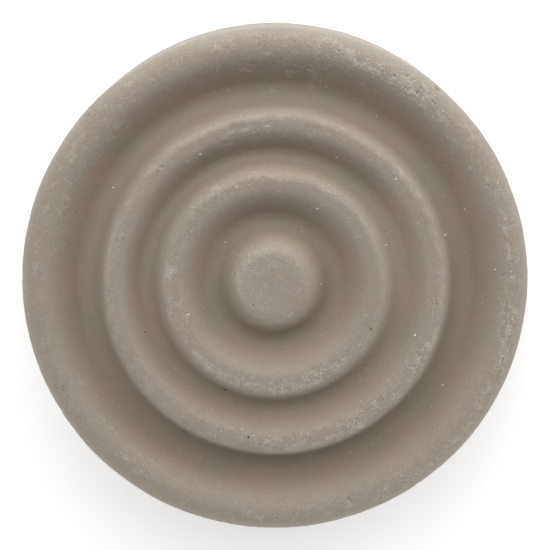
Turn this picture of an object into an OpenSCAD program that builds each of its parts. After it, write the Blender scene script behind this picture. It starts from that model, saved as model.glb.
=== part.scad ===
// Shaving soap puck: one cast block of hard soap with a ringed lathering face.
// The face looks up (+Z). The origin is the centre of the flat back.

/* [Puck] */
// Diameter of the puck at its widest, just under the rim
puck_d = 72; // [71:0.5:78]
// Height from the flat back to the top of the middle boss
puck_h = 26; // [20:1:34]
// How much smaller the radius is at the back than at the rim
back_lean = 0.4; // [0:0.1:1]
// Rounding of the back edge
back_round = 1.6; // [1:0.1:3]
// How far the top of the rim lies below the top of the boss
rim_drop = 4; // [3.7:0.1:4.2]
// Rounding of the rim, from its inner slope over its top to the side wall
rim_round = 2.8; // [2:0.1:2.9]

/* [Boss] */
// Radius of the boss's flat top
boss_r = 3.9; // [3.4:0.1:4.2]
// Rounding of the boss's edge
boss_round = 2.2; // [1.6:0.1:2.4]

/* [Inner ring] */
// Radius where the crest ends and its outer wall starts
ring_1_r = 14.6; // [14.4:0.1:14.8]
// Width of the flat along the crest, between its two roundings
ring_1_crest = 0.7; // [0.4:0.1:1]
// How far the crest lies below the top of the boss
ring_1_drop = 1.1; // [0.8:0.1:1.4]
// Rounding from the inner slope to the crest
ring_1_inner_round = 2; // [1.4:0.1:2.2]
// Rounding from the crest to the outer wall
ring_1_outer_round = 1.4; // [1:0.1:1.6]

/* [Outer ring] */
// Radius where the crest ends and its outer wall starts
ring_2_r = 23; // [22.8:0.1:23.1]
// Width of the flat along the crest, between its two roundings
ring_2_crest = 0.7; // [0.5:0.1:0.8]
// How far the crest lies below the top of the boss
ring_2_drop = 2.2; // [1.9:0.1:2.5]
// Rounding from the inner slope to the crest
ring_2_inner_round = 1.8; // [1.4:0.1:1.9]
// Rounding from the crest to the outer wall
ring_2_outer_round = 1.3; // [1:0.1:1.4]

/* [Grooves] */
// Radius of the deepest line of the groove around the boss
groove_1_r = 8.9; // [8.7:0.1:9.1]
// How far it lies below the top of the boss
groove_1_depth = 4.5; // [4.2:0.1:4.8]
// Rounding of its floor
groove_1_round = 1.8; // [1.4:0.1:2]
// Radius of the deepest line of the groove between the rings
groove_2_r = 18.3; // [18.1:0.1:18.4]
// How far it lies below the top of the boss
groove_2_depth = 4.7; // [4.4:0.1:5]
// Rounding of its floor
groove_2_round = 1.5; // [1.1:0.1:1.5]
// Radius of the deepest line of the wide groove inside the rim
groove_3_r = 27.2; // [27.1:0.1:27.4]
// How far it lies below the top of the boss
groove_3_depth = 7.5; // [7.2:0.1:7.7]
// Rounding of its floor
groove_3_round = 2.1; // [1.5:0.1:2.1]

/* [Grains] */
// Number of pale mineral grains that show in the face
pale_grain_count = 22; // [8:1:26]
// Number of dark mineral grains that show in the face
dark_grain_count = 14; // [6:1:18]
// Diameter of a pale grain
pale_grain_d = 0.5; // [0.4:0.05:0.7]
// Diameter of a dark grain
dark_grain_d = 0.45; // [0.4:0.05:0.6]
// Share of a grain's diameter that stands out of the soap
grain_stand = 0.3; // [0.2:0.05:0.4]

/* [Hidden] */
$fn = 96;

puck_r = puck_d / 2;
arc_step = 10;
grain_facets = 24;
// Grains keep clear of the axis and of the rim's outer rounding.
grain_min_r = 2.5;
grain_edge_gap = 0.6;
grain_max_r = puck_r - rim_round - grain_edge_gap;
golden_turn = 137.508;
// Uneven shifts along the radius and round the axis, so that the spiral of grains
// doesn't show as a pattern, and how fast each shift changes from grain to grain.
grain_drift = 1.1;
drift_beat = 529;
grain_sway = 9;
sway_beat = 23;

// The circles that the outline rolls over and under, from the boss out to the rim and the back
// edge, each as [radius from the axis, height, rounding]. A crest's circle has a rounding above
// zero and the height of its top. A groove's has one below zero and the height of its bottom.
rolls = [
    [boss_r, puck_h, boss_round],
    [groove_1_r, puck_h - groove_1_depth, -groove_1_round],
    [ring_1_r - ring_1_crest, puck_h - ring_1_drop, ring_1_inner_round],
    [ring_1_r, puck_h - ring_1_drop, ring_1_outer_round],
    [groove_2_r, puck_h - groove_2_depth, -groove_2_round],
    [ring_2_r - ring_2_crest, puck_h - ring_2_drop, ring_2_inner_round],
    [ring_2_r, puck_h - ring_2_drop, ring_2_outer_round],
    [groove_3_r, puck_h - groove_3_depth, -groove_3_round],
    [puck_r - rim_round, puck_h - rim_drop, rim_round],
    [puck_r - back_lean - back_round, 2 * back_round, back_round]
];
last_roll = len(rolls) - 1;

function centre(i) = [rolls[i][0], rolls[i][1] - rolls[i][2]];

// Direction of the straight wall that touches circle i and the next one. The outline sets out
// level across the boss, and comes back level along the flat back.
function wall(i) =
    i < 0 ? 0
    : i == last_roll ? -180
    : let (
        step = centre(i + 1) - centre(i),
        lean = asin((rolls[i + 1][2] - rolls[i][2]) / norm(step))
    )
    atan2(step.y, step.x) + lean;

// The point of circle i where the outline runs in a given direction.
function touch(i, way) = centre(i) + rolls[i][2] * [-sin(way), cos(way)];

// Points of the arc round circle i, from the wall before it to the wall after it.
function arc(i) =
    let (
        from = wall(i - 1),
        swing = wall(i) - from,
        steps = ceil(abs(swing) / arc_step)
    )
    [for (k = [0 : steps]) touch(i, from + swing * k / steps)];

// The outline of half the puck's section.
outline = [
    [0, puck_h],
    for (i = [0 : last_roll]) each arc(i),
    [0, 0]
];

// The same outline up to the top of the rim, which gives the face's height at any radius.
face = [for (p = outline) if (p.x < puck_r - rim_round && p.y > puck_h / 2) p];

// Place of grain i out of all of them: along a sunflower spiral, shifted a little.
grain_count = pale_grain_count + dark_grain_count;
function grain_place(i, d) =
    let (
        share = sqrt((i + 0.5) / grain_count),
        r = grain_min_r + (grain_max_r - grain_min_r - grain_drift) * share
            + grain_drift * (1 + sin(i * drift_beat)) / 2,
        turn = i * golden_turn + grain_sway * sin(i * sway_beat)
    )
    [r * cos(turn), r * sin(turn), lookup(r, face) - d * (0.5 - grain_stand)];

// True for the grains that are dark: spread evenly through the count.
function is_dark(i) =
    floor((i + 1) * dark_grain_count / grain_count) > floor(i * dark_grain_count / grain_count);

module grains(dark, d) {
    for (i = [0 : grain_count - 1])
        if (is_dark(i) == dark)
            translate(grain_place(i, d))
                sphere(d = d, $fn = grain_facets);
}

module soap_body() {
    color("#8e8475")
        difference() {
            rotate_extrude() polygon(outline);
            grains(false, pale_grain_d);
            grains(true, dark_grain_d);
        }
}

module pale_grains() {
    color("#e6e0d4") grains(false, pale_grain_d);
}

module dark_grains() {
    color("#4a4238") grains(true, dark_grain_d);
}

soap_body();
pale_grains();
dark_grains();
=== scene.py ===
import math

import bmesh
import bpy
import numpy as np
from mathutils import Matrix, Vector
from mathutils.bvhtree import BVHTree


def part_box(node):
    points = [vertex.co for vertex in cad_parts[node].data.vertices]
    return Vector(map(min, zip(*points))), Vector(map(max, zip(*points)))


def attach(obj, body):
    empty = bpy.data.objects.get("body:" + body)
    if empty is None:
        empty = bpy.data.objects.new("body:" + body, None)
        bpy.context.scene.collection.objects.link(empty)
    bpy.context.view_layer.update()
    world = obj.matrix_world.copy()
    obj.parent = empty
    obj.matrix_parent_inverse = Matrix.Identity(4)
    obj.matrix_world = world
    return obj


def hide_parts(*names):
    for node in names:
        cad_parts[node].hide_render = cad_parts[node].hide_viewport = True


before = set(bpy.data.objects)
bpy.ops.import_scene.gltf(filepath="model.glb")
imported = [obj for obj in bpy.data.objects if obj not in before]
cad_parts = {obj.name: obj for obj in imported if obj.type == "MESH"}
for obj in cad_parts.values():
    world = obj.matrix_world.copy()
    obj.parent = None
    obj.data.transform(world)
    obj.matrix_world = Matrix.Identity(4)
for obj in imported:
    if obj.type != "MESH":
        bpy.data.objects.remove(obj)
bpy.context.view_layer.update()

MM = 0.001
GOLDEN_TURN = math.radians(137.508)

# ---------------------------------------------------------------- the puck's own sizes, in mm

BODY_LOW, BODY_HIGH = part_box("soap_body")
PUCK_R = (BODY_HIGH.x - BODY_LOW.x) / 2 / MM
PUCK_H = (BODY_HIGH.z - BODY_LOW.z) / MM

# The section is measured on the CAD body by rays. Inside this distance from the side wall the
# rays turn round a point under the rim, instead of coming straight down.
EDGE_IN = 4.0
RAY_STEP = 0.1
RAY_TURNS = 9
TURN_STEP = math.radians(2)
# Where the outline is nearly straight, the rays stand further apart.
COARSE_STEP = RAY_STEP * 5
# The rays down start this high, and keep at least this far off the axis.
RAY_START = PUCK_H + 1
OFF_AXIS = 0.02
# The section is then set out at even fine steps and blurred this widely.
FINE_STEP = RAY_STEP / 2
SECTION_BLUR = 0.14
# A blur reaches this many of its widths to each side.
BLUR_REACH = 3

# How far above its blurred self, in mm, the section has to stand to count as a crest, and the
# widths of that blur and of the one on the section's bend.
CREST_STAND = (-0.25, 0.75)
CREST_BLUR = 2.6
BEND_BLUR = 0.35
# How sharp a bend, in radians per mm, has to be to count as an edge.
EDGE_BEND = (0.35, 0.85)
# Lengths along the section over which the face fades out and the back fades in.
FACE_FADE = 3.0
BACK_FADE = 1.5

# Radii between which the rim's outer part, the puck's outermost part and the boss come in.
OUTER_RIM = (PUCK_R - 4.0, PUCK_R - 2.2)
OUTERMOST = (PUCK_R - 1.8, PUCK_R - 0.4)
BOSS_TOP = (5.2, 3.4)

# Distance between the rows of the mesh on the face, the side and the back.
FACE_STEP = 0.175
SIDE_STEP = 0.30
BACK_STEP = 0.45
# Points in the row next to the middle, and how many row steps apart a row's points may be.
FIRST_SEGMENTS = 24
WIDEST_SPACE = 1.3

# ---------------------------------------------------------------- marks in the soap, in mm

RELIEF_SEED = 41
MARK_SEED = 7
GRAIN_SEED = 19

# Layers of noise: the size of the bumps, and their height or share. The last number shifts the
# noise, which only gives the layer a pattern of its own.
WAVES = ((12.0, 0.050, 12.0), (4.0, 0.022, 4.0), (1.6, 0.006, 1.6))
ROUGHNESS = ((0.95, 0.026, 2.85), (0.50, 0.026, 1.5))
MOULD_LINES = ((0.8, 0.05, 43.0),)
WARP_X = ((15.0, 0.20, 11.0), (5.0, 0.08, 11.0))
WARP_Y = ((15.0, 0.20, 18.0), (5.0, 0.08, 18.0))
BLOOM_STREAKS = ((1.5, 1.0, 47.0), (0.7, 0.5, 53.0))
BLOOM_SPECKS = ((0.8, 0.6, 51.0),)

# Patches: their layers of noise, then the sums between which a patch comes in.
WEAR_PATCHES = (((2.4, 1.0, 3.0), (1.1, 0.6, 8.0)), -0.45, 0.65)
FLAKES = (((1.7, 1.0, 23.0), (0.7, 0.5, 29.0)), 0.04, 0.16)
BACK_HOLLOWS = (((7.0, 1.0, 31.0),), 0.05, 0.60)
BACK_BUBBLES = (((1.3, 1.0, 37.0),), 0.42, 0.62)
SCUFF_BREAKS = (((0.9, 1.0, 17.0),), -0.35, 0.15)

# Noise is stretched by scaling its places: along the rings, round the side, and in height.
STREAK_ACROSS = 2.0
STREAK_ALONG = 0.5
MOULD_LINE_STRETCH = (0.12, 0.12, 1.0)
WARP_STRETCH = (1.0, 1.0, 0.3)

FLAKE_DEPTH = 0.10
BLOOM_HEIGHT = 0.035
HOLLOW_DEPTH = 0.14
BUBBLE_DEPTH = 0.22
SCUFF_HEIGHT = 0.05

# Wear on any crest, and the share of all wear that is left between its patches.
CREST_WEAR = 0.16
WEAR_LEFT = 0.35
# How rough the soap is where it isn't worn at all, against where it is worn most.
LEAST_ROUGH = 0.12
# The bloom comes in between these sums of the wear and this share of its ragged noise.
BLOOM_FROM = (0.50, 0.85)
BLOOM_RAGGED = 0.55

# Radii between which the warp comes in near the axis, and fades out towards the side wall.
WARP_IN = (1.0, 5.0)
WARP_OUT = (PUCK_R - 0.5, PUCK_R - 5.0)
# The boss and the inner ring lie a little off the middle of the puck: how far, in X and Y, and
# the radii between which this comes in from outside.
OFF_MIDDLE = (-0.18, 0.24)
OFF_FADE = (21.0, 16.0)
# The groove between the rings is shallower on one side: radius, half width, middle and half
# length in degrees, and how far it is filled up.
SHALLOW = (18.0, 2.4, 0, 40, 0.7)

# Where the face is worn rough and powdery: radius and half width of the worn band, its middle
# and half length in degrees from +X towards +Y, and how strongly it is worn.
WORN_BANDS = (
    (2.6, 3.4, 60, 360, 0.35),
    (5.2, 1.0, 130, 50, 0.60),
    (14.9, 1.5, 285, 60, 0.75),
    (14.2, 1.4, 180, 60, 0.60),
    (14.8, 1.6, 50, 45, 0.25),
    (22.9, 1.5, 318, 38, 1.00),
    (22.4, 1.4, 270, 40, 0.60),
    (21.8, 1.6, 92, 28, 0.60),
    (23.0, 0.8, 175, 60, 0.45),
    (34.0, 1.2, 352, 26, 1.00),
    (33.7, 1.7, 60, 32, 0.95),
    (31.0, 1.8, 92, 24, 0.50),
    (31.8, 1.6, 150, 30, 0.45),
    (33.6, 1.3, 292, 45, 0.55),
    (34.4, 1.3, 20, 60, 0.60),
    (34.2, 1.3, 105, 60, 0.55),
    (33.8, 1.2, 205, 60, 0.40),
    (15.2, 1.0, 100, 60, 0.50),
    (15.1, 0.9, 250, 45, 0.80),
)

# Worn bands round the side wall: height, half height and how strongly it is worn.
SIDE_BANDS = (
    (19.0, 3.0, 0.40),
    (10.0, 9.0, 0.22),
    (1.2, 1.0, 0.50),
)

# The boss is rubbed in a ring: the radii between which it comes in from outside and from the
# middle, the turn where it is strongest, and how far from there, in degrees, it fades.
RUBBED_OUTSIDE = (5.8, 4.6)
RUBBED_INSIDE = (0.5, 4.4)
RUBBED_TURN = 150
RUBBED_FADE = (175, 60)

# Pale scuffs along the rim, the rings and the boss: radius, half width, middle and half length
# in degrees, strength.
SCUFFS = (
    (34.4, 0.30, 321, 6.0, 1.00),
    (33.6, 0.35, 336, 10.0, 0.60),
    (32.6, 0.35, 354, 9.0, 0.50),
    (33.4, 0.50, 12, 10.0, 0.45),
    (5.0, 0.70, 150, 75, 0.40),
    (31.4, 0.30, 228, 14.0, 0.45),
    (14.9, 0.35, 200, 40.0, 0.40),
    (33.2, 0.22, 4, 1.6, 0.90),
    (34.2, 0.35, 145, 4.0, 0.75),
    (34.0, 0.35, 159, 4.5, 0.85),
    (34.0, 0.30, 174, 5.0, 0.80),
    (23.0, 0.30, 165, 30.0, 0.25),
    (15.0, 0.70, 255, 45.0, 0.60),
    (34.4, 0.50, 312, 22.0, 0.50),
)
# A scuff is at its full strength over this share of its half length.
SCUFF_FULL = 0.6

# A pit's shape, in shares of its radius: how far it reaches, how uneven its outline is and over
# what size, where its wall runs, where its lip stands and how wide that is, and where its
# powder fades.
PIT_REACH = 3
PIT_WOBBLE = 0.25
WOBBLE_SIZE = 1.5
WOBBLE_SHIFT = 5.0
PIT_WALL = (1.15, 0.45)
LIP_PLACE = 1.35
LIP_WIDTH = 0.35
POWDER_FADE = (2.2, 0.8)

PIT_COUNT = 110
PIT_RADIUS = (0.14, 0.27)
PIT_DEPTH = (0.08, 0.22)
# Each pit's radius is cut by chance, down to this share.
PIT_LEAST = 0.6
SIDE_PIT_COUNT = 90
SIDE_PIT_RADIUS = (0.25, 0.50)
# Pits and marks on the face keep this far inside the puck's outline.
PIT_GAP = 1.5
MARK_GAP = 1.0
# Shares of its group's depth that a mark can have.
MARK_DEPTHS = (0.5, 1.2)
# Groups of marks on the rim and the rings: how many, their middle and spread in degrees, radius
# and spread, then the marks' size, depth, raised lip and how pale they are.
MARK_GROUPS = (
    (34, 60, 18.0, 33.4, 1.4, (0.12, 0.27), 0.17, 0.060, 0.7),
    (8, 57, 5.0, 33.6, 0.6, (0.20, 0.32), 0.22, 0.060, 0.8),
    (16, 80, 9.0, 30.2, 1.4, (0.26, 0.40), 0.05, 0.035, 0.4),
    (26, 0, 14.0, 33.6, 0.9, (0.12, 0.22), 0.12, 0.020, 0.4),
    (30, 300, 24.0, 23.6, 0.7, (0.12, 0.20), 0.12, 0.020, 0.5),
    (14, 275, 14.0, 33.4, 0.7, (0.12, 0.22), 0.12, 0.020, 0.4),
    (12, 90, 40.0, 22.0, 1.0, (0.12, 0.20), 0.10, 0.015, 0.4),
)


def smoothstep(low, high, x):
    """Rises smoothly from 0 at `low` to 1 at `high`, which may also be the lower one of the two."""
    t = np.clip((x - low) / (high - low), 0.0, 1.0)
    return t * t * (3 - 2 * t)


def at_least(least, share):
    """A share of 0 to 1, brought into the range from `least` to 1."""
    return least + (1 - least) * share


def filled_up(x, y):
    """How far the face is filled up at a spot, in mm."""
    radius, half_width, middle, half_length, height = SHALLOW
    across = np.exp(-(((np.hypot(x, y) - radius) / half_width) ** 2))
    along = np.exp(-(((np.degrees(np.arctan2(y, x)) - middle) / half_length) ** 2))
    return height * across * along


# ---------------------------------------------------------------- noise on points

LATTICE = 64
# Brings gradient noise to about -1 to 1.
NOISE_GAIN = 1.6


def gradient_lattice(seed):
    """Unit vectors on a lattice that repeats, for gradient noise."""
    rng = np.random.default_rng(seed)
    v = rng.normal(size=(LATTICE, LATTICE, LATTICE, 3))
    return v / np.linalg.norm(v, axis=3, keepdims=True)


GRADIENTS = gradient_lattice(RELIEF_SEED)


def noise(points, size, shift):
    """Smooth noise of about -1 to 1 at points in mm, with bumps about `size` mm across."""
    p = points / size + shift
    cell = np.floor(p).astype(int)
    f = p - cell
    blend = f * f * f * (f * (f * 6 - 15) + 10)
    total = np.zeros(len(p))
    for corner in np.ndindex(2, 2, 2):
        c = np.array(corner)
        g = GRADIENTS[tuple(((cell + c) % LATTICE).T)]
        weight = np.prod(np.where(c == 1, blend, 1 - blend), axis=1)
        total += weight * np.sum(g * (f - c), axis=1)
    return total * NOISE_GAIN


def layered(points, layers):
    """The sum of several layers of noise."""
    return sum(share * noise(points, size, shift) for size, share, shift in layers)


def patches(points, layers, low, high):
    """Patches of 0 to 1, where layered noise rises from `low` to `high`."""
    return smoothstep(low, high, layered(points, layers))


# ---------------------------------------------------------------- the section of the soap body


def cast(tree, origin, direction, turn):
    """Where a ray in the half plane at angle `turn` meets the body, as [radius, height]."""
    c, s = math.cos(turn), math.sin(turn)
    start = Vector((origin[0] * c, origin[0] * s, origin[1])) * MM
    heading = Vector((direction[0] * c, direction[0] * s, direction[1]))
    hit = tree.ray_cast(start, heading)[0]
    if hit is None:
        return None
    return np.array([math.hypot(hit.x, hit.y), hit.z]) / MM


def usual_hit(tree, origin, direction):
    """The middle one of the hits at several turns, so that a grain's pocket doesn't count."""
    turns = [GOLDEN_TURN * k for k in range(RAY_TURNS)]
    hits = [cast(tree, origin, direction, t) for t in turns]
    return np.median(np.array([h for h in hits if h is not None]), axis=0)


def measured_section(node):
    """The body's outline as [radius, height] in mm, from the face's middle to the back's."""
    depsgraph = bpy.context.evaluated_depsgraph_get()
    tree = BVHTree.FromObject(node, depsgraph)
    inner = PUCK_R - EDGE_IN
    down, out = (0.0, -1.0), (1.0, 0.0)
    starts = [(max(r, OFF_AXIS), RAY_START) for r in np.arange(0, inner, RAY_STEP)]
    rows = [usual_hit(tree, start, down) for start in starts]
    rows[0][0] = 0.0
    rim_z = rows[-1][1] - EDGE_IN
    for a in np.arange(math.pi / 2, 0, -TURN_STEP):
        rows.append(usual_hit(tree, (inner, rim_z), (math.cos(a), math.sin(a))))
    for z in np.arange(rim_z, EDGE_IN, -COARSE_STEP):
        rows.append(usual_hit(tree, (inner, z), out))
    for a in np.arange(0, math.pi / 2, TURN_STEP):
        rows.append(usual_hit(tree, (inner, EDGE_IN), (math.cos(a), -math.sin(a))))
    rows += [np.array([r, 0.0]) for r in np.arange(inner, 0, -COARSE_STEP)]
    rows.append(np.array([0.0, 0.0]))
    return np.array(rows)


def arc_lengths(line):
    return np.r_[0.0, np.cumsum(np.linalg.norm(np.diff(line, axis=0), axis=1))]


def blurred(values, width, mirror):
    """Gaussian blur of a row of numbers. At both ends it goes on mirrored, times `mirror`."""
    reach = int(math.ceil(width * BLUR_REACH))
    kernel = np.exp(-0.5 * (np.arange(-reach, reach + 1) / width) ** 2)
    kernel /= kernel.sum()
    before = values[reach:0:-1] * mirror
    after = values[-2 : -reach - 2 : -1] * mirror
    return np.convolve(np.r_[before, values, after], kernel, "valid")


def even_section(node):
    """The section at even fine steps, with the small facets of its roundings smoothed out."""
    raw = measured_section(node)
    length = arc_lengths(raw)
    s = np.arange(0, length[-1], FINE_STEP)
    radius = np.interp(s, length, raw[:, 0])
    height = np.interp(s, length, raw[:, 1])
    width = SECTION_BLUR / FINE_STEP
    radius = np.maximum(blurred(radius, width, -1.0), 0.0)
    height = np.maximum(blurred(height, width, 1.0), 0.0)
    radius[0] = radius[-1] = 0.0
    return np.stack([radius, height], axis=1)


class Section:
    """The rows of the mesh: place along the section, radius, height, normal, bend, and how far
    each row stands out as a crest and lies on the face or the back."""

    def __init__(self, node):
        line = even_section(node)
        s = arc_lengths(line)
        step = s[-1] / (len(s) - 1)
        slope = np.gradient(line, s, axis=0)
        normal = np.stack([-slope[:, 1], slope[:, 0]], axis=1)
        normal /= np.linalg.norm(normal, axis=1, keepdims=True)
        angle = np.unwrap(np.arctan2(normal[:, 1], normal[:, 0]))
        bend = blurred(-np.gradient(angle, s), BEND_BLUR / step, 1.0)
        stand = line[:, 1] - blurred(line[:, 1], CREST_BLUR / step, 1.0)
        outside = PUCK_R - EDGE_IN / 2
        face_end = s[np.argmax(line[:, 0] > outside)]
        side_end = s[len(s) - np.argmax(line[::-1, 0] > outside)]
        rows = self.row_places(s[-1], face_end, side_end)

        def at(values):
            return np.interp(rows, s, values)

        self.s = rows
        self.r = at(line[:, 0])
        self.z = at(line[:, 1])
        self.nr = at(normal[:, 0])
        self.nz = at(normal[:, 1])
        self.bend = at(bend)
        self.stand = at(stand)
        self.on_face = smoothstep(face_end + FACE_FADE, face_end, rows)
        self.on_back = smoothstep(side_end, side_end + BACK_FADE, rows)

    @staticmethod
    def row_places(length, face_end, side_end):
        """Where the rows lie along the section."""
        side_start = face_end + EDGE_IN
        face = np.linspace(0, side_start, int(side_start / FACE_STEP) + 1)[:-1]
        side_rows = int((side_end - side_start) / SIDE_STEP) + 1
        side = np.linspace(side_start, side_end, side_rows)[:-1]
        back = np.linspace(side_end, length, int((length - side_end) / BACK_STEP) + 1)
        return np.concatenate([face, side, back])


# ---------------------------------------------------------------- the soap's mesh


def segments_at(radius, step):
    """How many points a row has: doubled each time the spaces between them grow too wide."""
    around = 2 * math.pi * radius
    doublings = math.ceil(math.log2(max(around / (FIRST_SEGMENTS * step * WIDEST_SPACE), 1)))
    return FIRST_SEGMENTS * 2**doublings


def strip(start_a, count_a, start_b, count_b):
    """Faces between two rows, where one row has as many points as the other, or twice as many."""
    faces = []
    if count_a == count_b:
        for i in range(count_a):
            j = (i + 1) % count_a
            faces.append((start_a + i, start_b + i, start_b + j, start_a + j))
        return faces
    flip = count_a > count_b
    coarse, few = (start_b, count_b) if flip else (start_a, count_a)
    fine, many = (start_a, count_a) if flip else (start_b, count_b)
    for i in range(few):
        a, b = coarse + i, coarse + (i + 1) % few
        f = [fine + (2 * i + k) % many for k in range(3)]
        for triangle in ((a, f[0], f[1]), (a, f[1], b), (b, f[1], f[2])):
            faces.append(triangle[::-1] if flip else triangle)
    return faces


def revolved(section):
    """Each point's row and turn, and the faces, of the whole closed body."""
    steps = np.diff(section.s)
    row_of, turn_of, faces = [0], [0.0], []
    starts, counts = [0], [1]
    for k in range(1, len(section.s) - 1):
        n = segments_at(section.r[k], steps[k - 1])
        starts.append(len(row_of))
        counts.append(n)
        row_of.extend([k] * n)
        turn_of.extend(2 * math.pi * i / n for i in range(n))
    last = len(row_of)
    row_of.append(len(section.s) - 1)
    turn_of.append(0.0)
    for i in range(counts[1]):
        faces.append((0, starts[1] + i, starts[1] + (i + 1) % counts[1]))
    for k in range(1, len(starts) - 1):
        faces.extend(strip(starts[k], counts[k], starts[k + 1], counts[k + 1]))
    for i in range(counts[-1]):
        faces.append((starts[-1] + i, last, starts[-1] + (i + 1) % counts[-1]))
    return np.array(row_of), np.array(turn_of), faces


class Relief:
    """Moves the body's points along their normals and keeps how pale and worn each spot is."""

    def __init__(self, section):
        self.section = section
        self.row, self.turn, self.faces = revolved(section)
        self.r = section.r[self.row]
        self.z = section.z[self.row]
        self.lean = section.nr[self.row]
        self.nz = section.nz[self.row]
        c, s = np.cos(self.turn), np.sin(self.turn)
        self.points = np.stack([self.r * c, self.r * s, self.z], axis=1)
        self.normals = np.stack([self.lean * c, self.lean * s, self.nz], axis=1)
        self.lift = np.zeros(len(self.points))
        self.scuff = np.zeros(len(self.points))
        self.face = section.on_face[self.row]
        self.back = section.on_back[self.row]
        self.side = (1 - self.face) * (1 - self.back)
        self.shown = np.where(self.nz > 0, 1.0, self.side)
        # The outermost part carries a painted sheen: a greyer tone on the rim's edge and the side
        # wall.
        self.outermost = smoothstep(*OUTERMOST, self.r)
        self.edge = smoothstep(*EDGE_BEND, section.bend)[self.row] * (self.nz > 0)
        self.crest = self.raised()
        self.rubbed = self.rubbed_boss()
        self.wear = self.worn()
        self.bloom = self.bloomed()

    def turned_from(self, degrees):
        """How far each point is turned from a given turn, in degrees up to 180."""
        return np.abs((np.degrees(self.turn) - degrees + 180) % 360 - 180)

    def raised(self):
        """The ring crests, the rim out to its edge, and the boss."""
        crest = smoothstep(*CREST_STAND, self.section.stand)
        outer_rim = smoothstep(*OUTER_RIM, self.section.r) * self.section.on_face
        boss = smoothstep(*BOSS_TOP, self.r) * self.face
        return np.maximum(np.maximum(crest, outer_rim)[self.row], boss)

    def rubbed_boss(self):
        """A ring on the boss that is rubbed paler, more so on one side."""
        ring = smoothstep(*RUBBED_OUTSIDE, self.r) * smoothstep(*RUBBED_INSIDE, self.r)
        return ring * self.face * smoothstep(*RUBBED_FADE, self.turned_from(RUBBED_TURN))

    def worn(self):
        """Worn bands on the face and round the side, broken up unevenly, over a little wear on
        every crest."""
        wear = CREST_WEAR * self.crest
        for radius, half_width, middle, half_length, strength in WORN_BANDS:
            across = np.exp(-(((self.r - radius) / half_width) ** 4))
            along = np.exp(-((self.turned_from(middle) / half_length) ** 2))
            wear = np.maximum(wear, strength * across * along)
        for height, half_height, strength in SIDE_BANDS:
            band = strength * np.exp(-(((self.z - height) / half_height) ** 2))
            wear = np.maximum(wear, band * self.side)
        return wear * at_least(WEAR_LEFT, patches(self.points, *WEAR_PATCHES)) * self.shown

    def drawn_out(self):
        """Places for noise that is drawn out along the rings: fine across them, long round them."""
        across = self.r * STREAK_ACROSS
        along = self.points[:, :2] * STREAK_ALONG
        return np.column_stack([across, along])

    def bloomed(self):
        """Dry pale bloom on worn places, in ragged patches that run a little along the rings."""
        ragged = layered(self.drawn_out(), BLOOM_STREAKS) + layered(self.points, BLOOM_SPECKS)
        return smoothstep(*BLOOM_FROM, self.wear + BLOOM_RAGGED * ragged) * self.shown

    def add_waves(self):
        self.lift += layered(self.points, WAVES)

    def add_roughness(self):
        """Worn crests are rough, and the grooves stay smooth."""
        self.lift += at_least(LEAST_ROUGH, self.wear) * layered(self.points, ROUGHNESS)

    def add_flakes(self):
        """Thin flakes are gone from the worn bands, which leaves low patches with sharp edges."""
        self.lift -= FLAKE_DEPTH * self.wear * patches(self.points, *FLAKES)

    def add_bloom(self):
        """The bloom stands out of the soap a little, as a thin crust."""
        self.lift += BLOOM_HEIGHT * self.bloom

    def add_back(self):
        """The poured back has soft hollows and small bubble pits."""
        hollows = HOLLOW_DEPTH * patches(self.points, *BACK_HOLLOWS)
        bubbles = BUBBLE_DEPTH * patches(self.points, *BACK_BUBBLES)
        self.lift -= self.back * (hollows + bubbles)

    def add_mould_lines(self):
        """Faint lines from the mould run round the side."""
        stretched = self.points * np.array(MOULD_LINE_STRETCH)
        self.lift += self.side * layered(stretched, MOULD_LINES)

    def add_warp(self):
        """Fills up the shallow stretch of groove, sets the boss and the inner ring off the middle,
        and pushes the rings a little out of round. The side wall stays as it is."""
        self.points[:, 2] += self.face * filled_up(self.points[:, 0], self.points[:, 1])
        fade = self.face * smoothstep(*WARP_IN, self.r) * smoothstep(*WARP_OUT, self.r)
        stretched = self.points * np.array(WARP_STRETCH)
        off = self.face * smoothstep(*OFF_FADE, self.r)
        for axis, layers in enumerate((WARP_X, WARP_Y)):
            self.points[:, axis] += fade * layered(stretched, layers) + off * OFF_MIDDLE[axis]

    def near(self, centre, reach):
        """Points within reach of a centre, and their distances from it."""
        inside = np.flatnonzero(np.all(np.abs(self.points - centre) < reach, axis=1))
        return inside, np.linalg.norm(self.points[inside] - centre, axis=1)

    def surface_at(self, radius, turn):
        """The point of the face at a radius and turn."""
        rows = np.flatnonzero(self.section.on_face > 0.5)
        z = np.interp(radius, self.section.r[rows], self.section.z[rows])
        return np.array([radius * math.cos(turn), radius * math.sin(turn), z])

    def press(self, centre, radius, depth, lip=0.0, scuff=0.0):
        """A round pit with soft walls, and round it a lip of a given height."""
        inside, distance = self.near(centre, radius * PIT_REACH)
        uneven = noise(self.points[inside], radius * WOBBLE_SIZE, WOBBLE_SHIFT)
        share = distance / (radius * (1 + PIT_WOBBLE * uneven))
        self.lift[inside] -= depth * smoothstep(*PIT_WALL, share)
        self.lift[inside] += lip * np.exp(-(((share - LIP_PLACE) / LIP_WIDTH) ** 2))
        powder = scuff * smoothstep(*POWDER_FADE, share)
        self.scuff[inside] = np.maximum(self.scuff[inside], powder)

    def add_pits(self, rng):
        """Small pits scattered over the face."""
        for _ in range(PIT_COUNT):
            radius = (PUCK_R - PIT_GAP) * math.sqrt(rng.random())
            centre = self.surface_at(radius, 2 * math.pi * rng.random())
            size = rng.uniform(*PIT_RADIUS) * at_least(PIT_LEAST, rng.random())
            self.press(centre, size, rng.uniform(*PIT_DEPTH))

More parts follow.
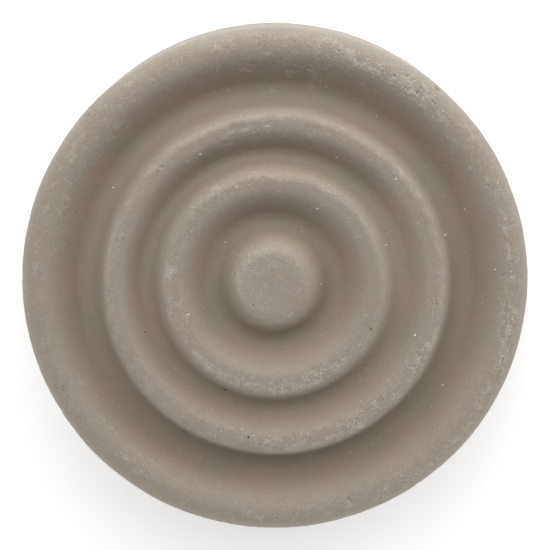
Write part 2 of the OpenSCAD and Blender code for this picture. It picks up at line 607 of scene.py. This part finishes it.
    def add_side_pits(self, rng):
        """Small pits scattered over the side wall."""
        section = self.section
        rows = np.flatnonzero((section.on_face < 0.5) & (section.on_back < 0.5))[::-1]
        for _ in range(SIDE_PIT_COUNT):
            turn = 2 * math.pi * rng.random()
            z = rng.uniform(section.z[rows[0]], section.z[rows[-1]])
            r = np.interp(z, section.z[rows], section.r[rows])
            centre = np.array([r * math.cos(turn), r * math.sin(turn), z])
            self.press(centre, rng.uniform(*SIDE_PIT_RADIUS), rng.uniform(*PIT_DEPTH))

    def add_mark_groups(self, rng):
        """Groups of close, shallow marks with pale raised lips."""
        for count, turn, spread, radius, apart, sizes, depth, lip, pale in MARK_GROUPS:
            for _ in range(count):
                r = min(radius + apart * rng.normal(), PUCK_R - MARK_GAP)
                centre = self.surface_at(r, math.radians(turn + spread * rng.normal()))
                size = rng.uniform(*sizes)
                self.press(centre, size, depth * rng.uniform(*MARK_DEPTHS), lip, pale)

    def add_scuffs(self):
        """Pale rubbed lines that run along the rim and the rings, broken up."""
        broken = patches(self.points, *SCUFF_BREAKS) * (self.nz > 0)
        for radius, half_width, middle, half_length, strength in SCUFFS:
            across = np.exp(-(((self.r - radius) / half_width) ** 2))
            full = half_length * SCUFF_FULL
            along = smoothstep(half_length, full, self.turned_from(middle))
            mark = strength * across * along * broken
            self.scuff = np.maximum(self.scuff, mark)
            self.lift += SCUFF_HEIGHT * mark

    def mesh(self, name):
        """The moved points as a mesh, with what the soap's material needs to know of each."""
        moved = (self.points + self.normals * self.lift[:, None]) * MM
        moved[:, 2] = np.maximum(moved[:, 2], 0.0)
        mesh = bpy.data.meshes.new(name)
        mesh.from_pydata(moved.tolist(), [], self.faces)
        mesh.update()
        mesh.polygons.foreach_set("use_smooth", [True] * len(mesh.polygons))
        kept = {
            "crest": self.crest,
            "wear": self.wear,
            "scuff": self.scuff,
            "edge": self.edge,
            "lean": self.lean,
            "bloom": self.bloom,
            "outermost": self.outermost,
            "rubbed": self.rubbed,
        }
        for label, values in kept.items():
            layer = mesh.attributes.new(label, "FLOAT", "POINT")
            layer.data.foreach_set("value", values.astype(np.float32))
        return mesh


# ---------------------------------------------------------------- materials


class Nodes:
    """Short names for making nodes in a node tree."""

    def __init__(self, tree):
        self.tree = tree

    def add(self, kind, **values):
        node = self.tree.nodes.new(kind)
        for key, value in values.items():
            setattr(node, key, value)
        return node

    def link(self, source, target):
        self.tree.links.new(source, target)

    def put(self, node, name, value):
        """Sets an input: to a number, or to another node's output."""
        if isinstance(value, bpy.types.NodeSocket):
            self.link(value, node.inputs[name])
        else:
            node.inputs[name].default_value = value

    def math(self, operation, a, b=0.0, clamp=False):
        node = self.add("ShaderNodeMath", operation=operation, use_clamp=clamp)
        self.put(node, 0, a)
        self.put(node, 1, b)
        return node.outputs[0]

    def share(self, value, factor):
        """A value times a factor."""
        return self.math("MULTIPLY", value, factor)

    def scaled(self, value, factor, plus):
        """A value times a factor, plus a number."""
        return self.math("ADD", self.share(value, factor), plus)

    def attribute(self, name):
        return self.add("ShaderNodeAttribute", attribute_name=name).outputs["Fac"]

    def place(self):
        """The spot on the object, in mm."""
        where = self.add("ShaderNodeTexCoord").outputs["Object"]
        scale = self.add("ShaderNodeVectorMath", operation="SCALE")
        self.put(scale, 0, where)
        self.put(scale, "Scale", 1 / MM)
        return scale.outputs[0]

    def noise(self, where, size, detail, rough):
        """Noise with features about `size` mm across."""
        node = self.add("ShaderNodeTexNoise")
        self.put(node, "Vector", where)
        self.put(node, "Scale", 1 / size)
        self.put(node, "Detail", detail)
        self.put(node, "Roughness", rough)
        return node.outputs["Fac"]

    def dots(self, where, spacing):
        """The nearest of many scattered points: how far it is, in shares of the spacing, and its
        own random colour."""
        node = self.add("ShaderNodeTexVoronoi")
        self.put(node, "Vector", where)
        self.put(node, "Scale", 1 / spacing)
        return node.outputs["Distance"], node.outputs["Color"]

    def ramp(self, value, low, high, to_low=0.0, to_high=1.0):
        """Goes smoothly from `to_low` to `to_high` while a value goes from `low` to `high`."""
        node = self.add("ShaderNodeMapRange", interpolation_type="SMOOTHSTEP")
        self.put(node, "Value", value)
        self.put(node, "From Min", low)
        self.put(node, "From Max", high)
        self.put(node, "To Min", to_low)
        self.put(node, "To Max", to_high)
        return node.outputs["Result"]

    def patches(self, where, size, detail, rough, low, high):
        """Patches of 0 to 1, where noise rises from `low` to `high`."""
        return self.ramp(self.noise(where, size, detail, rough), low, high)

    def mix(self, share, a, b):
        """Mixes two colours, each of them fixed or another node's output."""
        node = self.add("ShaderNodeMix", data_type="RGBA")
        self.put(node, "Factor", share)
        for name, value in (("A", a), ("B", b)):
            socket = [i for i in node.inputs if i.name == name and i.type == "RGBA"][0]
            if isinstance(value, bpy.types.NodeSocket):
                self.link(value, socket)
            else:
                socket.default_value = (*value, 1.0)
        return [o for o in node.outputs if o.type == "RGBA"][0]

    def bump(self, height, distance, strength, under=None):
        """A bump up to `distance` mm high, on top of another bump where one is given."""
        node = self.add("ShaderNodeBump")
        self.put(node, "Height", height)
        self.put(node, "Distance", distance * MM)
        self.put(node, "Strength", strength)
        if under is not None:
            self.put(node, "Normal", under)
        return node.outputs["Normal"]


class MaterialNodes(Nodes):
    """The nodes of a new material, which starts with its shader."""

    def __init__(self, name):
        self.material = bpy.data.materials.new(name)
        self.material.use_nodes = True
        super().__init__(self.material.node_tree)
        self.shader = self.tree.nodes["Principled BSDF"]

    def set_shader(self, values):
        for name, value in values.items():
            self.put(self.shader, name, value)


GROOVE_COLOUR = (0.286, 0.237, 0.175)
CREST_COLOUR = (0.290, 0.251, 0.205)
WARM_TONE = (0.308, 0.241, 0.190)
# Olive tone in random patches. It is partly real tone and partly a painted shade tint, because it
# keeps more to the grooves than to the crests.
COOL_TONE_AND_SHADE = (0.248, 0.237, 0.170)
# Painted sheen: a greyer tone on the outermost rim and the side wall, in place of the pale grazing
# reflection there.
EDGE_SHEEN_TONE = (0.290, 0.260, 0.218)
# Painted light: the pinker tone of lit slopes, given to every slope that leans towards the axis.
INNER_SLOPE_LIT_TINT = (0.298, 0.236, 0.182)
POWDER_COLOUR = (0.52, 0.485, 0.415)
# A dark brown for dark specks and flecks, and for the painted shade in hollows and pits.
DARK_TONE = (0.13, 0.11, 0.085)

# Noise: the size of its features in mm, its detail and its roughness.
DRY_NOISE = (3.0, 5.0, 0.6)
GRIT = (0.26, 3.0, 0.65)
SPECKLE = (0.17, 2.0, 0.6)
SKIN = (0.75, 3.0, 0.5)
MINERAL_SKIN = (0.08, 3.0, 0.5)
FLOOR_NOISE = (60.0, 2.0, 0.5)
NOISE_MIDDLE = 0.5

# Patches: their noise, then the values between which a patch comes in.
WARM_PATCHES = (9.0, 2.0, 0.5, 0.35, 0.70)
COOL_PATCHES = (6.0, 2.0, 0.5, 0.40, 0.75)
HAZE = (1.5, 5.0, 0.65, 0.44, 0.64)
EDGE_BREAKS = (1.6, 4.0, 0.65, 0.42, 0.62)
MINERAL_PATCHES = (0.25, 3.0, 0.5, 0.3, 0.7)

# Flecks: the spacing of the points they are picked from and their radius, in mm, how bright a
# point's random colour has to be for it to be picked, and the width of the soft edge in mm.
CHIPS = (0.46, 0.15, 0.56, 0.07)
# The dark flecks on worn places are painted shade: the shade inside small pits, with no pit under
# them.
SHADED_PIT_FLECKS = (0.52, 0.14, 0.52, 0.07)
PALE_FLECKS = (1.5, 0.17, 0.56, 0.09)
DARK_FLECKS = (1.7, 0.17, 0.58, 0.09)
PICK_WIDTH = 0.04

# Values between which a part of the look comes in: of the wall's lean towards the axis, and of
# the speckle's and the grit's noise. The crust has its least and its full strength too.
# The lean towards the axis sets where the pinker painted lit tint comes in.
INWARD_LEAN = (-0.10, -0.55)
PALE_SPECKLE = (0.42, 0.72)
DARK_SPECKLE = (0.52, 0.26)
GRIT_TOPS = (0.50, 0.66)
# Where the grit's noise is low, the soap is darkened: painted shade in the low spots of the grit
# bump.
GRIT_SHADE_LOWS = (0.46, 0.34)
GRIT_SCUFFS = (0.35, 0.62)
GRIT_CRUST = (0.30, 0.60, 0.35, 1.0)

# How uneven the dry patches are, and how strongly each tone shows.
DRY_UNEVEN = 1.1
WARM_SHARE = 0.40
COOL_SHARE = 0.55
COOL_SHADE_LOST_ON_CRESTS = 0.5
EDGE_SHEEN_SHARE = 0.7
PALE_SPECKLE_SHARE = 0.10
DARK_SPECKLE_SHARE = 0.13
LOW_SHADE_SHARE = 0.30
PIT_SHADE_SHARE = 0.72
PALE_FLECK_SHARE = 0.55
DARK_FLECK_SHARE = 0.40

# How strongly each kind of pale powder covers the soap.
TOPS_COVER = 0.34
HAZE_COVER = 0.22
CHIP_COVER = 0.95
UNWORN_COVER = 0.12
SCUFF_COVER = 0.55
CRUST_COVER = 0.27
RUBBED_COVER = 0.16
EDGE_COVER = 0.20

# What wear does to the painted shade in the hollows and pits and to the height of the grit: a
# factor, and what is there without wear.
HOLLOW_SHADE_WEAR = (0.9, 0.10)
GRIT_WEAR = (0.9, 0.35)

# Bumps: their height in mm and their strength.
SKIN_BUMP = (0.05, 0.6)
GRIT_BUMP = (0.085, 1.0)
MINERAL_BUMP = (0.01, 0.6)

# The soap's roughness where it is waxy and where it is dry.
SOAP_ROUGHNESS = (0.56, 0.72)
SOAP_SHADER = {
    "Specular IOR Level": 0.30,
    "Sheen Weight": 0.08,
    "Subsurface Weight": 0.15,
    "Subsurface Radius": (1.0, 0.75, 0.5),
    "Subsurface Scale": 0.6 * MM,
}

# The minerals' lighter and darker tone, and their roughness.
PALE_MINERAL = ((0.62, 0.59, 0.53), (0.45, 0.41, 0.35), 0.5)
DARK_MINERAL = ((0.09, 0.07, 0.05), (0.04, 0.03, 0.025), 0.6)


def soap_tone(n, where, dry):
    """Brown grey in the grooves and paler grey on the crests, in soft uneven patches. Painted light
    in it: a pinker lit tint on the inner slopes, olive patches that partly stand for shade and keep
    more to the grooves, and a greyer painted sheen on the outermost edge.
    """
    # Slopes that lean towards the axis take a pinker tone, a painted lit tint.
    inward = n.ramp(n.attribute("lean"), *INWARD_LEAN)
    colour = n.mix(dry, n.mix(inward, GROOVE_COLOUR, INNER_SLOPE_LIT_TINT), CREST_COLOUR)
    warm = n.share(n.patches(where, *WARM_PATCHES), WARM_SHARE)
    colour = n.mix(warm, colour, WARM_TONE)
    # The olive patches are halved on the dry crests, so they keep to the grooves: partly a painted
    # shade tint.
    left = n.math("SUBTRACT", 1.0, n.share(dry, COOL_SHADE_LOST_ON_CRESTS))
    cool = n.math("MULTIPLY", n.patches(where, *COOL_PATCHES), n.share(left, COOL_SHARE))
    colour = n.mix(cool, colour, COOL_TONE_AND_SHADE)
    # The outermost rim and the side wall take a greyer tone, which is a painted sheen.
    return n.mix(n.share(n.attribute("outermost"), EDGE_SHEEN_SHARE), colour, EDGE_SHEEN_TONE)


def soap_flecks(n, where, spacing, radius, pick_from, soft):
    """Tiny round flecks at some of many scattered points."""
    distance, cell = n.dots(where, spacing)
    picked = n.ramp(cell, pick_from, pick_from + PICK_WIDTH)
    fleck = n.ramp(distance, radius / spacing, (radius - soft) / spacing)
    return n.math("MULTIPLY", fleck, picked)


def worn_cover(n, where, grit):
    """How much pale powder covers each spot: tops, haze and chips on worn places, then scuffs,
    the bloom's crust, the rubbed boss and rubbed edges."""
    tops = n.share(n.ramp(grit, *GRIT_TOPS), TOPS_COVER)
    haze = n.share(n.patches(where, *HAZE), HAZE_COVER)
    chips = n.share(soap_flecks(n, where, *CHIPS), CHIP_COVER)
    cover = n.math("ADD", n.math("ADD", tops, haze), chips)
    cover = n.math("MULTIPLY", cover, n.math("ADD", n.attribute("wear"), UNWORN_COVER))
    scuffs = n.math("MULTIPLY", n.attribute("scuff"), n.ramp(grit, *GRIT_SCUFFS))
    cover = n.math("ADD", cover, n.share(scuffs, SCUFF_COVER))
    crust = n.math("MULTIPLY", n.attribute("bloom"), n.ramp(grit, *GRIT_CRUST))
    cover = n.math("ADD", cover, n.share(crust, CRUST_COVER))
    cover = n.math("ADD", cover, n.share(n.attribute("rubbed"), RUBBED_COVER))
    edges = n.math("MULTIPLY", n.attribute("edge"), n.patches(where, *EDGE_BREAKS))
    return n.math("ADD", cover, n.share(edges, EDGE_COVER), clamp=True)


def dry_share(n, where):
    """How dry and pale the soap itself is: most on the crests, in uneven patches."""
    uneven = n.math("SUBTRACT", n.noise(where, *DRY_NOISE), NOISE_MIDDLE)
    return n.ramp(n.math("ADD", n.attribute("crest"), n.share(uneven, DRY_UNEVEN)), 0.0, 1.0)


def soap_colour(n, where, dry, grit):
    """The soap's tone under fine speckle, pale powder, painted shade in hollows and pits, and
    scattered flecks.
    """
    colour = soap_tone(n, where, dry)
    speckle = n.noise(where, *SPECKLE)
    pale = n.share(n.ramp(speckle, *PALE_SPECKLE), PALE_SPECKLE_SHARE)
    colour = n.mix(pale, colour, POWDER_COLOUR)
    dark = n.share(n.ramp(speckle, *DARK_SPECKLE), DARK_SPECKLE_SHARE)
    colour = n.mix(dark, colour, DARK_TONE)
    colour = n.mix(worn_cover(n, where, grit), colour, POWDER_COLOUR)
    # Painted shade: the grit's low spots and small dark pits on worn places are darkened, as if they
    # were in shade.
    shaded_lows = n.share(n.ramp(grit, *GRIT_SHADE_LOWS), LOW_SHADE_SHARE)
    shaded_pits = n.share(soap_flecks(n, where, *SHADED_PIT_FLECKS), PIT_SHADE_SHARE)
    worn = n.scaled(n.attribute("wear"), *HOLLOW_SHADE_WEAR)
    hollows = n.math("MULTIPLY", n.math("ADD", shaded_lows, shaded_pits), worn)
    colour = n.mix(hollows, colour, DARK_TONE)
    pale = n.share(soap_flecks(n, where, *PALE_FLECKS), PALE_FLECK_SHARE)
    colour = n.mix(pale, colour, POWDER_COLOUR)
    dark = n.share(soap_flecks(n, where, *DARK_FLECKS), DARK_FLECK_SHARE)
    return n.mix(dark, colour, DARK_TONE)


def soap_normal(n, where, grit):
    """A soft uneven skin, with grit on it that stands higher where the soap is worn."""
    skin = n.bump(n.noise(where, *SKIN), *SKIN_BUMP)
    height = n.math("MULTIPLY", grit, n.scaled(n.attribute("wear"), *GRIT_WEAR))
    return n.bump(height, *GRIT_BUMP, under=skin)


def soap_material():
    n = MaterialNodes("hard_soap")
    where = n.place()
    dry = dry_share(n, where)
    grit = n.noise(where, *GRIT)
    n.set_shader(SOAP_SHADER)
    n.put(n.shader, "Base Color", soap_colour(n, where, dry, grit))
    n.put(n.shader, "Roughness", n.ramp(dry, 0.0, 1.0, *SOAP_ROUGHNESS))
    n.put(n.shader, "Normal", soap_normal(n, where, grit))
    return n.material


def mineral_material(name, light, dark, roughness):
    n = MaterialNodes(name)
    where = n.place()
    n.put(n.shader, "Base Color", n.mix(n.patches(where, *MINERAL_PATCHES), dark, light))
    n.put(n.shader, "Roughness", roughness)
    n.put(n.shader, "Normal", n.bump(n.noise(where, *MINERAL_SKIN), *MINERAL_BUMP))
    return n.material


FLOOR_TONES = ((0.92, 0.92, 0.92), (0.94, 0.94, 0.94))
# The floor glows faintly, as a light table does, so that it stays white round the puck.
FLOOR_SHADER = {
    "Roughness": 0.9,
    "Specular IOR Level": 0.0,
    "Emission Color": (1.0, 1.0, 1.0, 1.0),
    "Emission Strength": 0.30,
}


def floor_material():
    n = MaterialNodes("floor")
    tone = n.noise(n.place(), *FLOOR_NOISE)
    n.put(n.shader, "Base Color", n.mix(tone, *FLOOR_TONES))
    n.set_shader(FLOOR_SHADER)
    return n.material


# ---------------------------------------------------------------- mineral grains

# The points of one CAD grain are all within this distance of each other.
GRAIN_REACH = 1.0 * MM
BALL_DIVISIONS = 3
# Each grain is a ball cut back by flat faces: how many, how far from its middle, and then its
# size, both in shares of the CAD grain's.
CUTS = 14
CUT_PLACES = (0.72, 0.95)
GRAIN_SIZES = (0.45, 0.90)


def grain_centres(node):
    """The middle and size of each grain in a CAD node of grains, in metres."""
    left = np.array([v.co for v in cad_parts[node].data.vertices])
    found = []
    while len(left):
        mine = np.linalg.norm(left - left[0], axis=1) < GRAIN_REACH
        low, high = left[mine].min(axis=0), left[mine].max(axis=0)
        found.append(((low + high) / 2, (high - low).mean()))
        left = left[~mine]
    return found


def unit_ball():
    """Points and faces of a finely divided ball of radius 1."""
    ball = bmesh.new()
    bmesh.ops.create_icosphere(ball, subdivisions=BALL_DIVISIONS, radius=1.0)
    ball.verts.ensure_lookup_table()
    points = np.array([v.co[:] for v in ball.verts])
    faces = [[v.index for v in f.verts] for f in ball.faces]
    ball.free()
    return points, faces


def chipped(points, rng):
    """A ball's points cut back by flat faces at random tilts, as a crushed mineral is."""
    out = points.copy()
    for _ in range(CUTS):
        n = rng.normal(size=3)
        n /= np.linalg.norm(n)
        over = np.maximum(out @ n - rng.uniform(*CUT_PLACES), 0)
        out -= over[:, None] * n
    return out * rng.uniform(*GRAIN_SIZES)


def grains_piece(name, node, material, rng):
    """One piece with all the grains of a CAD node, raised where the face is filled up."""
    ball, ball_faces = unit_ball()
    points, faces = [], []
    for centre, size in grain_centres(node):
        base = len(points)
        centre[2] += filled_up(centre[0] / MM, centre[1] / MM) * MM
        points.extend((chipped(ball, rng) * size / 2 + centre).tolist())
        faces.extend([[base + i for i in f] for f in ball_faces])
    mesh = bpy.data.meshes.new(name)
    mesh.from_pydata(points, [], faces)
    mesh.update()
    return add_piece(name, mesh, node, material)


def add_piece(name, mesh, node, material):
    """Puts a mesh in the scene as a piece that stands for a CAD node."""
    piece = bpy.data.objects.new(name, mesh)
    bpy.context.scene.collection.objects.link(piece)
    mesh.materials.append(material)
    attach(piece, "root")
    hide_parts(node)
    return piece


def make_soap():
    relief = Relief(Section(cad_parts["soap_body"]))
    rng = np.random.default_rng(MARK_SEED)
    relief.add_waves()
    relief.add_roughness()
    relief.add_flakes()
    relief.add_bloom()
    relief.add_back()
    relief.add_mould_lines()
    relief.add_pits(rng)
    relief.add_mark_groups(rng)
    relief.add_side_pits(rng)
    relief.add_scuffs()
    relief.add_warp()
    add_piece("soap_block", relief.mesh("soap_block"), "soap_body", soap_material())


def make_grains():
    rng = np.random.default_rng(GRAIN_SEED)
    pale = mineral_material("pale_mineral", *PALE_MINERAL)
    dark = mineral_material("dark_mineral", *DARK_MINERAL)
    grains_piece("pale_mineral_grains", "pale_grains", pale, rng)
    grains_piece("dark_mineral_grains", "dark_grains", dark, rng)


# ---------------------------------------------------------------- floor, light and camera

FLOOR_HALF = 3.0

# Soft lights round the puck, each as azimuth from +Y towards +X, elevation, tightness, strength.
LIGHTS = (
    (0, 3, 20, 4.7),
    (45, 3, 20, 3.0),
    (90, 3, 20, 0.8),
    (135, 3, 20, 3.1),
    (180, 3, 20, 7.6),
    (225, 3, 20, 1.1),
    (315, 3, 20, 1.8),
    (60, 15, 10, 1.4),
    (0, 35, 6, 2.5),
    (60, 35, 6, 0.6),
    (240, 35, 6, 0.5),
    (300, 35, 6, 1.0),
    (0, 62, 6, 0.7),
)


def make_floor():
    h = FLOOR_HALF
    mesh = bpy.data.meshes.new("floor")
    mesh.from_pydata([(-h, -h, 0), (h, -h, 0), (h, h, 0), (-h, h, 0)], [], [(0, 1, 2, 3)])
    mesh.materials.append(floor_material())
    floor = bpy.data.objects.new("floor", mesh)
    bpy.context.scene.collection.objects.link(floor)


def light_glow(n, way, azimuth, elevation, tightness, strength):
    """How bright one soft light makes the sky in each direction."""
    a, e = math.radians(azimuth), math.radians(elevation)
    dot = n.add("ShaderNodeVectorMath", operation="DOT_PRODUCT")
    n.put(dot, 0, way)
    n.put(dot, 1, (math.sin(a) * math.cos(e), math.cos(a) * math.cos(e), math.sin(e)))
    away = n.math("SUBTRACT", dot.outputs["Value"], 1.0)
    return n.share(n.math("EXPONENT", n.share(away, tightness)), strength)


def make_world():
    """A dark sky with the soft lights in it."""
    world = bpy.data.worlds.new("studio")
    bpy.context.scene.world = world
    world.use_nodes = True
    n = Nodes(world.node_tree)
    n.tree.nodes.clear()
    out = n.add("ShaderNodeOutputWorld")
    sky = n.add("ShaderNodeBackground")
    n.link(sky.outputs[0], out.inputs[0])
    way = n.add("ShaderNodeTexCoord").outputs["Generated"]
    total = 0.0
    for light in LIGHTS:
        total = n.math("ADD", light_glow(n, way, *light), total)
    n.link(total, sky.inputs["Strength"])


SENSOR = 36.0
PICTURE = 550
CAMERA_TILT = math.radians(8)
CAMERA_DISTANCE = 0.45
CLIP_START = 0.01
# The puck's outline is this share of the picture's width.
FILL = 0.9222
# How far below the boss's top the camera aims at first, in mm, how many steps then turn its aim,
# and a small shift of the picture, as in the photo's framing.
AIM_BELOW_TOP = 4.0
AIM_STEPS = 4
SHIFT_X = 0.2 / PICTURE
SHIFT_Y = -1.2 / PICTURE
# Points for framing: how many round the puck, and their heights at its widest, halfway up its
# side and at its back edge.
OUTLINE_TURNS = 181
OUTLINE_HEIGHTS = (PUCK_H - 6.4, PUCK_H / 2, 0.8)


def outline_points():
    """Points round the puck that show how much of the picture it takes up."""
    r = PUCK_R * MM
    points = []
    for t in np.linspace(0, 2 * math.pi, OUTLINE_TURNS):
        points.extend([r * math.cos(t), r * math.sin(t), h * MM] for h in OUTLINE_HEIGHTS)
    return np.array(points)


def make_camera():
    """A camera at the photo's angle, with a lens that makes the puck fill its share of the width."""
    data = bpy.data.cameras.new("camera")
    camera = bpy.data.objects.new("camera", data)
    bpy.context.scene.collection.objects.link(camera)
    bpy.context.scene.camera = camera
    target = np.array([0.0, 0.0, BODY_HIGH.z - AIM_BELOW_TOP * MM])
    tilt = CAMERA_TILT
    back = np.array([0.0, math.sin(tilt), math.cos(tilt)])
    spot = target + CAMERA_DISTANCE * back
    points = outline_points() - spot
    # Turn the aim a little until the outline is centred.
    for _ in range(AIM_STEPS):
        back = np.array([0.0, math.sin(tilt), math.cos(tilt)])
        up = np.array([0.0, math.cos(tilt), -math.sin(tilt)])
        depth = -points @ back
        v = points @ up / depth
        tilt -= math.atan((v.max() + v.min()) / 2)
    u = points[:, 0] / depth
    reach = (u.max() - u.min() + v.max() - v.min()) / 4
    data.sensor_width = SENSOR
    data.lens = FILL / 2 / reach * SENSOR
    data.shift_x, data.shift_y = SHIFT_X, SHIFT_Y
    data.clip_start = CLIP_START
    turn = Matrix(((1, 0, 0), tuple(up), tuple(back))).transposed()
    camera.matrix_world = Matrix.Translation(Vector(spot)) @ turn.to_4x4()


bpy.context.scene.view_settings.view_transform = "Standard"
make_soap()
make_grains()
make_floor()
make_world()
make_camera()
